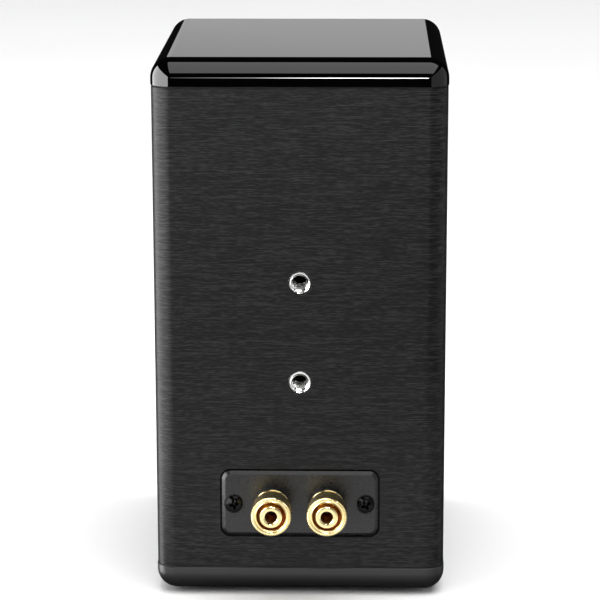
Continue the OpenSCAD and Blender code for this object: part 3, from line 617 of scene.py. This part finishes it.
def threaded_insert(node):
    """A nickel insert with a chamfered mouth and a cut thread."""
    pitch, crest, root = 1.27, 2.6, 3.15
    low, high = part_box(node)
    length = (high.y - low.y) / MM
    rows = 130
    bore = [(crest, length * k / rows) for k in range(rows)]
    mouth = [(3.2, length - 0.12), (3.42, length), (3.78, length), (4.0, length - 0.22)]
    profile = bore + mouth + [(4.0, 0.2), (3.8, 0)]

    def thread(r, angle, d):
        if r != crest:
            return r
        turn = (d / pitch - angle / (2 * math.pi)) % 1
        return crest + (root - crest) * min(1, 2.6 * min(turn, 1 - turn))

    made = lathe(node + "_metal", profile, (0, low.y, middle(node).z), 72, True, 30, thread)
    return place(made, "insert_nickel", "cabinet", node)


def terminal_plate():
    """The plate with its bevelled rim, two bosses, two screw seats and the post holes."""
    back = plate_low.y
    thick = PLATE_FACE - back
    bevel = 1.2 * MM
    levels = [(0.2 * MM, 0), (0, 0.2 * MM), (0, thick - 0.8 * MM), (0.06 * MM, thick - 0.72 * MM),
              (bevel, thick)]
    rings = [ring_at(rounded(PLATE_W / 2 - inset, PLATE_H / 2 - inset, 3 * MM - inset, 14), y,
                     (0, back, PLATE_Z)) for inset, y in levels]
    plate = loft("terminal_panel", rings, 24)
    seat = thick / MM - 0.4
    bosses, tools = [], []
    for s in (-1, 1):
        x = s * SCREW_X
        tools.append(lathe("seat", [(3.45, seat), (3.45, seat + 2)], (x, back, PLATE_Z), 56))
        tools.append(lathe("shank", [(1.55, -1), (1.55, seat + 1)], (x, back, PLATE_Z), 40))
        post = middle("post_left" if s < 0 else "post_right")
        tools.append(lathe("post", [(2.55, -1), (2.55, seat + 2)], (post.x, back, PLATE_Z), 48))
        rim = (plate_high.y - PLATE_FACE) / MM
        ring = soften([(3.25, -0.1), (5.7, -0.1), (5.7, rim), (3.25, rim)], 0.2, True)
        bosses.append(lathe("boss", ring, (post.x, PLATE_FACE, PLATE_Z), 72, True))
    plate = join("terminal_panel", [cut(plate, *tools, crease=24)] + bosses)
    shade(plate, 24)
    return place(plate, "plate_plastic", "cabinet", "terminal_plate")


def screw_head(head_r, head_h, shank_r, length):
    """A Phillips pan head screw along +Y, the top of its head at the origin."""
    dome = [(head_r * math.sin(a), -head_h * 0.62 * (1 - math.cos(a)))
            for a in [math.radians(62) * k / 10 for k in range(11)]]
    edge = dome[-1]
    profile = [(0, 0)] + dome[1:] + [(head_r, edge[1] - head_h * 0.22), (head_r, -head_h),
                                     (shank_r, -head_h), (shank_r, -head_h - length),
                                     (0, -head_h - length)]
    screw = lathe("screw", soften(profile, 0.1), (0, 0, 0), 56)
    tools = []
    wing, deep = head_r * 0.6, head_h * 0.75
    for turn in (0, math.pi / 2):
        rings = []
        for d, w, t in ((-deep, wing * 0.35, 0.25), (-deep * 0.35, wing * 0.85, 0.42),
                        (0.5, wing * 1.15, 0.6)):
            ring = rounded(w * MM, t * MM, t * MM * 0.45, 3)
            rings.append([(x, d * MM, z) for x, z in ring])
        wing_tool = loft("wing", rings)
        wing_tool.data.transform(Matrix.Rotation(turn, 4, "Y"))
        tools.append(wing_tool)
    return cut(screw, *tools, crease=28)


def screws(name, node, slot, places, turns, sizes):
    """Copies of one screw, each turned a little differently."""
    made = []
    for (spot, facing), turn in zip(places, turns):
        screw = screw_head(*sizes)
        flip = Matrix.Identity(4) if facing > 0 else Matrix.Rotation(math.pi, 4, "X")
        screw.data.transform(Matrix.Translation(spot) @ flip @
                             Matrix.Rotation(math.radians(turn), 4, "Y"))
        made.append(screw)
    joined = join(name, made)
    shade(joined, 28)
    return place(joined, slot, "cabinet", node)


def binding_post(side):
    """The fixed post: flange, threaded stud, banana socket and cross hole."""
    node = "post_" + side
    low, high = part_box(node)
    cx, base = (low.x + high.x) / 2, PLATE_FACE
    tip = (high.y - base) / MM
    rim = (plate_high.y - base) / MM
    flange, stud, bore, pitch = rim + 0.6, 3.9, 2.05, 1.0
    rows = 84
    start, end = flange + 0.25, tip - 0.35
    thread_rows = [(stud, start + (end - start) * k / rows) for k in range(rows + 1)]
    bead = [(5.8 + 0.3 * math.sin(math.pi * k / 8), rim + 0.3 - 0.3 * math.cos(math.pi * k / 8))
            for k in range(9)]
    profile = [(2.5, -16.5), (2.5, 0), (3.2, 0), (3.2, rim), (5.6, rim)] + bead + \
        [(5.6, flange), (3.7, flange)] + thread_rows + \
        [(3.76, tip - 0.05), (3.66, tip), (2.75, tip), (2.6, tip - 0.03), (2.18, tip - 0.2),
         (bore, tip - 0.42)] + \
        [(bore, tip - 1 - 12.5 * k / 12) for k in range(13)] + [(1.2, tip - 14.0), (0, tip - 14.1)]

    def thread(r, angle, d):
        if r != stud:
            return r
        turn = (d / pitch - angle / (2 * math.pi)) % 1
        fade = min(1, (end - d) / 0.8, (d - start) / 0.4)
        return stud - 0.42 * max(0, fade) * abs(2 * turn - 1)

    made = lathe(node + "_metal", [(0, -16.5)] + profile, (cx, base, PLATE_Z), 96, False, 34,
                 thread)
    hole = lathe("wire_hole", [(1.6, -6), (1.6, 6)], (0, 0, 0), 40)
    hole.data.transform(Matrix.Translation((cx, REAR + 6 * MM, PLATE_Z)) @
                        Matrix.Rotation(math.pi / 2, 4, "X"))
    post = place(cut(made, hole, crease=34), "gold_plate", "cabinet", node)
    # painted shade: the banana bore's faces get the dark copper gold
    darken(post, (cx, PLATE_Z), -1, 2.09 * MM, base + (tip - 0.45) * MM)
    return post


def clamp_washer(side):
    """The plain ring that clamps a bare wire against the post's flange."""
    node = "clamp_washer_" + side
    low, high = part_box(node)
    t = (high.y - low.y) / MM
    profile = soften([(4.0, 0), (5.75, 0), (5.75, t), (4.0, t)], 0.12, True)
    made = lathe(node + "_metal", profile, ((low.x + high.x) / 2, low.y, PLATE_Z), 96, True, 50)
    return place(made, "gold_plate", "washer_" + side, node)


def knob(side):
    """The knurled thumb nut: collar, diamond knurl, turned front face and counterbore."""
    node = "post_knob_" + side
    low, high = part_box(node)
    length = (high.y - low.y) / MM
    outer, teeth, depth = 6.95, 76, 0.4
    first, last, rows = 2.5, length - 0.3, 72
    body = [(outer, first + (last - first) * k / rows) for k in range(rows + 1)]
    edge = 6.9
    face = [(edge, length - 0.12), (6.45, length), (6.12, length), (6.05, length - 0.07),
            (5.98, length), (5.62, length), (5.56, length - 0.05), (5.5, length),
            (5.2, length), (5.02, length - 0.16), (4.98, length - 1.6), (4.75, length - 2.6),
            (4.3, length - 3.1), (3.99, length - 3.2)]
    collar = [(3.99, 0.15), (4.1, 0), (5.6, 0), (5.75, 0.15), (5.75, 2.2), (6.5, 2.25)]
    profile = collar + body + face
    twist = math.tan(math.radians(30)) / outer

    def knurl(r, angle, d):
        if r not in (outer, edge):
            return r
        lean = twist * (last - min(d, last))
        a = abs((((angle + lean) * teeth / (2 * math.pi)) % 1) * 2 - 1)
        b = abs((((angle - lean) * teeth / (2 * math.pi)) % 1) * 2 - 1)
        return r - depth * (1 - 0.5 * (a + b)) - 0.25 * max(0, 1 - (d - first) / 0.35)

    made = lathe(node + "_metal", profile, ((low.x + high.x) / 2, low.y, PLATE_Z), teeth * 4,
                 True, 40, knurl)
    nut = place(made, "gold_plate", "knob_" + side, node)
    # painted shade: faces between 3.9 and 5.03 mm from the axis, the groove and counterbore, get the dark
    # copper gold
    darken(nut, ((low.x + high.x) / 2, PLATE_Z), 3.9 * MM, 5.03 * MM, high.y - 0.1 * MM)
    return nut


# ---------------------------------------------------------------- drivers

def smoothstep(t):
    t = max(0.0, min(1.0, t))
    return t * t * (3 - 2 * t)


def bends_with_radius(piece, moving, fixed_r, moving_r, z):
    """A round suspension follows the cabinet at fixed_r and its moving body at moving_r, in mm.
    """
    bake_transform(piece, "cabinet", moving, (0, FRONT, z), (0, FRONT - 1, z))
    weights = piece.data.attributes["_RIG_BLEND"].data
    for vertex, weight in zip(piece.data.vertices, weights):
        r = math.hypot(vertex.co.x, vertex.co.z - z) / MM
        weight.value = smoothstep((fixed_r - r) / (fixed_r - moving_r))


def bolt_circle(radius, y, z):
    """Four places on a circle round a driver's centre; radius in mm."""
    turns = [math.radians(45 + 90 * k) for k in range(4)]
    return [(radius * MM * math.cos(a), y, z + radius * MM * math.sin(a)) for a in turns]


def woofer():
    """Everything of the woofer that shows from the front."""
    spot = (0, FRONT, WOOFER_Z)
    cone_r, rim0, rim1 = 27.0, 32.2, 34.2

    # cone: a gently curved flare with three pressed ribs
    front = []
    for k in range(33):
        t = k / 32
        r = cone_r - 1.5 - t * (cone_r - 1.5 - 10.6)
        d = 1.15 + 12.4 * (t ** 0.92)
        for rib in (0.22, 0.42, 0.62):
            d -= 0.28 * math.exp(-((t - rib) / 0.018) ** 2)
        front.append((r, d))
    edge = [(cone_r, 1.7), (cone_r, 1.1)]
    rear = [(r, d + 0.62) for r, d in front[::-1]]
    cone = lathe("cone", edge + front + rear, spot, 144, True, 50)
    place(cone, "cone_paper", "cone_unit", "woofer_cone")

    # dust cap: a shallow dome with a glue bead at its foot
    dome = [(12.35 * math.sin(a) / math.sin(1.02), 11.2 - 5.0 *
             (math.cos(a) - math.cos(1.02)) / (1 - math.cos(1.02)))
            for a in [1.02 * k / 20 for k in range(21)]]
    under = [(r * 0.96, d + 0.5) for r, d in dome[::-1]]
    cap_piece = lathe("dust_cap", dome + [(12.4, 11.45)] + under, spot, 120, False, 50)
    place(cap_piece, "cone_paper", "cone_unit", "woofer_dust_cap")

    # surround: a half roll between two glue lips
    mid, roll = (cone_r + 0.3 + rim0) / 2, (rim0 - cone_r - 0.3) / 2
    arc = [math.pi * k / 24 for k in range(25)]
    t = 0.55
    over = [(rim1, 0.4), (rim0 + 0.2, 0.4)] + \
        [(mid + roll * math.cos(a), 0.5 - roll * math.sin(a)) for a in arc] + \
        [(cone_r - 0.1, 0.45), (cone_r - 1.3, 0.5)]
    back = [(cone_r - 1.3, 1.0), (cone_r + 0.3, 1.0)] + \
        [(mid - (roll - t) * math.cos(a), 1.0 - (roll - t) * math.sin(a)) for a in arc] + \
        [(rim1, 1.0)]
    surround = lathe("roll_surround", over + back, spot, 144, True, 50)
    place(surround, "surround_rubber", None, "woofer_surround")
    bends_with_radius(surround, "cone_unit", rim0, cone_r + 0.3, WOOFER_Z)

    # spider: corrugated cloth
    waves, n = 5, 90
    r0, r1 = 10.3, 25.8
    top = [(r0 + (r1 - r0) * k / n, 19.5 + 0.7 * math.sin(2 * math.pi * waves * k / n))
           for k in range(n + 1)]
    spider = lathe("spider", top + [(r, d + 0.4) for r, d in top[::-1]], spot, 120, True, 60)
    place(spider, "spider_cloth", None, "woofer_spider")
    bends_with_radius(spider, "cone_unit", 25.0, 11.0, WOOFER_Z)

    # gasket ring on the flange
    ring = soften([(rim0 + 0.15, 0.35), (rim0 + 0.15, -0.5), (rim1 - 0.2, -0.5),
                   (rim1 - 0.2, 0.35)], 0.25, True)
    place(lathe("gasket_ring", ring, spot, 120, True, 40), "foam", "cabinet", "woofer_gasket")


def tweeter():
    """Faceplate with its flare, fabric dome and its small surround."""
    spot = (0, FRONT, TWEETER_Z)
    radius = (face_high.x - face_low.x) / 2 / MM
    flare = [(13.85 + 6.4 * t, 2.2 - 2.2 * math.sin(t * math.pi / 2))
             for t in [k / 14 for k in range(15)]]
    profile = [(13.85, 3)] + flare + [(radius - 0.5, 0), (radius, 0.5), (radius, 3)]
    plate = lathe("tweeter_plate", profile, spot, 144, True, 30)
    holes = [lathe("hole", [(1.6, -1), (1.6, 4)], at, 32)
             for at in bolt_circle(TWEETER_BOLTS, FRONT, TWEETER_Z)]
    place(cut(plate, *holes), "faceplate_plastic", "cabinet", "tweeter_faceplate")

    ball, rim = 12.0, 10.0
    drop = math.sqrt(ball * ball - rim * rim)
    top = math.asin(rim / ball)
    skin = [(ball * math.sin(top * k / 24), 3.2 + drop - ball * math.cos(top * k / 24))
            for k in range(25)]
    inner = [(r * 0.975, d + 0.28) for r, d in skin[::-1]]
    dome = lathe("fabric_dome", skin + inner, spot, 144, False, 60)
    place(dome, "dome_silk", "dome_unit", "tweeter_dome")

    mid, roll = 11.75, 1.3
    arc = [math.pi * k / 16 for k in range(17)]
    over = [(13.6, 2.92)] + [(mid + roll * math.cos(a), 3.0 - roll * math.sin(a)) for a in arc] + \
        [(10.05, 3.0)]
    back = [(10.05, 3.2)] + [(mid - (roll - 0.25) * math.cos(a), 3.2 - (roll - 0.25) * math.sin(a))
                             for a in arc] + [(13.6, 3.2)]
    small = lathe("dome_surround", over + back, spot, 120, True, 60)
    place(small, "dome_silk", None, "tweeter_surround")
    bends_with_radius(small, "dome_unit", 13.0, 10.5, TWEETER_Z)


def driver_screws(name, node, radius, z):
    """The four screws of a driver, facing the grille."""
    head_r, head_h = 2.4, 1.6
    places = [(at, -1) for at in bolt_circle(radius, FRONT - head_h * MM, z)]
    return screws(name, node, "black_screw", places, (12, 55, 33, 71), (head_r, head_h, 1.45, 9))


# ---------------------------------------------------------------- grille

def grille_cloth():
    """Stretched cloth: a soft edge round the frame and a flat face in front of it."""
    hw, back = cloth_high.x, cloth_high.y
    hz, mid_z = (cloth_high.z - cloth_low.z) / 2, (cloth_high.z + cloth_low.z) / 2
    depth = cloth_high.y - cloth_low.y
    edge = 4.5 * MM
    thick = 0.6 * MM
    levels = [(0, 0), (0, depth - edge)]
    for k in range(1, 11):
        a = math.pi / 2 * k / 10
        levels.append((edge * (1 - math.cos(a)), depth - edge + edge * math.sin(a)))
    corner = 2.0 * MM
    outer = [[(x, back - up, mid_z + z) for x, z in
              rounded(hw - inset, hz - inset, max(corner - inset, 0.3 * MM), 8)]
             for inset, up in levels]
    inner = [[(x, back - up + (thick if i else 0), mid_z + z) for x, z in
              rounded(hw - inset - thick, hz - inset - thick,
                      max(corner - inset - thick, 0.2 * MM), 8)]
             for i, (inset, up) in enumerate(levels)]
    cloth = loft("stretched_cloth", inner[::-1] + outer, 45)
    place(cloth, "grille_fabric", "grille", "grille_cloth")


# ---------------------------------------------------------------- stage

def area_light(name, spot, target, size, power):
    """A rectangular light at a spot, facing a target; power in watts."""
    data = bpy.data.lights.new(name, "AREA")
    data.shape = "RECTANGLE"
    data.size, data.size_y = size
    data.energy = power
    lamp = bpy.data.objects.new(name, data)
    bpy.context.scene.collection.objects.link(lamp)
    lamp.location = spot
    lamp.rotation_mode = "QUATERNION"
    lamp.rotation_quaternion = (Vector(target) - Vector(spot)).to_track_quat("-Z", "Y")
    return lamp


def card(name, corners, radiance, fade=None, axis=0):
    """A card of light that only shows in reflections; fade gives a ramp along an axis."""
    obj = mesh_object(name, corners, [(0, 1, 2, 3)])
    s = Shader(name, (0, 0, 0), 1.0)
    ends = [corner[axis] for corner in corners]
    along = s.node("ShaderNodeSeparateXYZ", Vector=s.coords).outputs[axis]
    share = s.node("ShaderNodeMapRange", Value=along, _1=min(ends), _2=max(ends)).outputs[0]
    s.link(s.ramp(share, *(fade or ((0.0, 1.0), (1.0, 1.0)))), "Emission Color")
    s.set("Emission Strength", radiance)
    obj.data.materials.append(s.material)
    obj.visible_camera = obj.visible_diffuse = obj.visible_shadow = False


def pale_wall(radius, height):
    """A round pale wall that only the camera sees, so that low views have no black behind."""
    verts, faces, steps = [], [], 64
    for k in range(steps):
        a = 2 * math.pi * k / steps
        verts += [(radius * math.cos(a), radius * math.sin(a), z) for z in (-0.01, height)]
        n = (k + 1) % steps
        faces.append((2 * k, 2 * n, 2 * n + 1, 2 * k + 1))
    wall = mesh_object("pale_wall", verts, faces)
    s = Shader("pale_wall", (0, 0, 0), 1.0)
    s.principled.inputs["Emission Color"].default_value = (1, 1, 1, 1)
    s.principled.inputs["Emission Strength"].default_value = 1.0
    wall.data.materials.append(s.material)
    wall.visible_glossy = wall.visible_diffuse = wall.visible_shadow = False


def facing_y(y, left, right, low, high):
    """The corners of an upright card across the speaker's width."""
    return [(left, y, low), (right, y, low), (right, y, high), (left, y, high)]


def studio():
    """Pale floor and wall, cards for the reflections, three soft lights and a wide sky."""
    pale_wall(6.9, 9)
    bpy.ops.mesh.primitive_plane_add(size=14)
    floor = bpy.context.object
    floor.name = "floor"
    s = Shader("pale_floor", (0.9, 0.9, 0.9), 0.9, Specular_IOR_Level=0.1)
    s.link(s.ramp(s.noise(3, 2.0), (0.3, 0.9), (0.7, 0.92)), "Base Color")
    floor.data.materials.append(s.material)
    floor.visible_glossy = False

    world = bpy.data.worlds.new("studio")
    bpy.context.scene.world = world
    world.use_nodes = True
    world.node_tree.nodes["Background"].inputs[0].default_value = (0.006, 0.006, 0.006, 1)

    card("backdrop", facing_y(-2.6, -0.19, 0.37, 0.27, 0.93), 0.64)
    card("line", facing_y(2.2, -0.152, 0.24, 0.29, 0.38), 120,
         ((0.0, 1.0), (0.4, 0.8), (0.66, 0.12), (0.95, 0.0)))
    half, near, far, up = 0.14, 0.05, 0.3, 0.002
    card("near_floor", [(-half, near, up), (half, near, up), (half, far, up), (-half, far, up)],
         1.3, ((0.0, 0.1), (0.12, 1.0), (0.4, 1.0), (0.65, 0.45), (1.0, 0.4)), 1)
    for name, x, radiance in (("side_glow", 1.15, 7.5), ("side_fill", -1.15, 0.5)):
        card(name, [(x, -0.6, -0.5), (x, 4.6, -0.5), (x, 4.6, 1.0), (x, -0.6, 1.0)], radiance)

    area_light("overhead", (-0.41, 1.05, 1.5), (-0.41, 1.05, 0), (1.44, 2.5), 23.4)
    left = area_light("left", (1.2, 0.15, 0.62), (0, 0.15, 0.5), (2.1, 1.2), 15)
    left.visible_glossy = False
    area_light("right", (-1.9, -0.2, 0.6), (0, 0, 0.1), (0.4, 1.1), 10)
    sun = bpy.data.objects.new("sky", bpy.data.lights.new("sky", "SUN"))
    sun.data.energy, sun.data.angle = 2.6, math.radians(70)
    sun.visible_glossy = False
    bpy.context.scene.collection.objects.link(sun)
    bpy.context.scene.view_settings.view_transform = "Standard"


def camera():
    """A long lens behind and a little above the speaker."""
    data = bpy.data.cameras.new("camera")
    data.sensor_width = 36
    data.lens = 153.0
    data.clip_start = 0.05
    obj = bpy.data.objects.new("camera", data)
    bpy.context.scene.collection.objects.link(obj)
    yaw, pitch, roll = 0.0244, 0.2382, -0.0019
    ahead = Vector((math.sin(yaw) * math.cos(pitch), -math.cos(yaw) * math.cos(pitch),
                    -math.sin(pitch)))
    level = ahead.cross(Vector((0, 0, 1))).normalized()
    above = level.cross(ahead)
    right = level * math.cos(roll) + above * math.sin(roll)
    turned = Matrix((right, right.cross(ahead), -ahead)).transposed()
    seam = wrap_low.z - 0.3 * MM
    obj.matrix_world = Matrix.Translation((-20.7 * MM, REAR + 841.8 * MM, seam + 300.6 * MM)) @ \
        turned.to_4x4()
    bpy.context.scene.camera = obj


# ---------------------------------------------------------------- assembly

camera()
studio()

slots = {row["node"]: row["material_slot"] for row in frame["record"]["subparts"]}
for node, obj in frame["nodes"].items():
    obj.data.materials.clear()
    obj.data.materials.append(LOOKS[slots[node]])

cap("gloss_top", "cap_gloss", "top_cap", cap_low.z, 1, cap_high.z - cap_low.z)
cap("satin_base", "cap_satin", "bottom_cap", base_high.z, -1, base_high.z - base_low.z)
wrap()
feet()
threaded_insert("insert_upper")
threaded_insert("insert_lower")
terminal_plate()
screws("plate_screws", "terminal_screws", "black_screw",
       [((-SCREW_X, SCREW_Y, PLATE_Z), 1), ((SCREW_X, SCREW_Y, PLATE_Z), 1)], (28, 12),
       (SCREW_HEAD_R, 2.0, 1.45, 9))
for side in ("left", "right"):
    binding_post(side)
    clamp_washer(side)
    knob(side)
woofer()
tweeter()
driver_screws("woofer_fixings", "woofer_screws", WOOFER_BOLTS, WOOFER_Z)
driver_screws("tweeter_fixings", "tweeter_screws", TWEETER_BOLTS, TWEETER_Z)
grille_cloth()
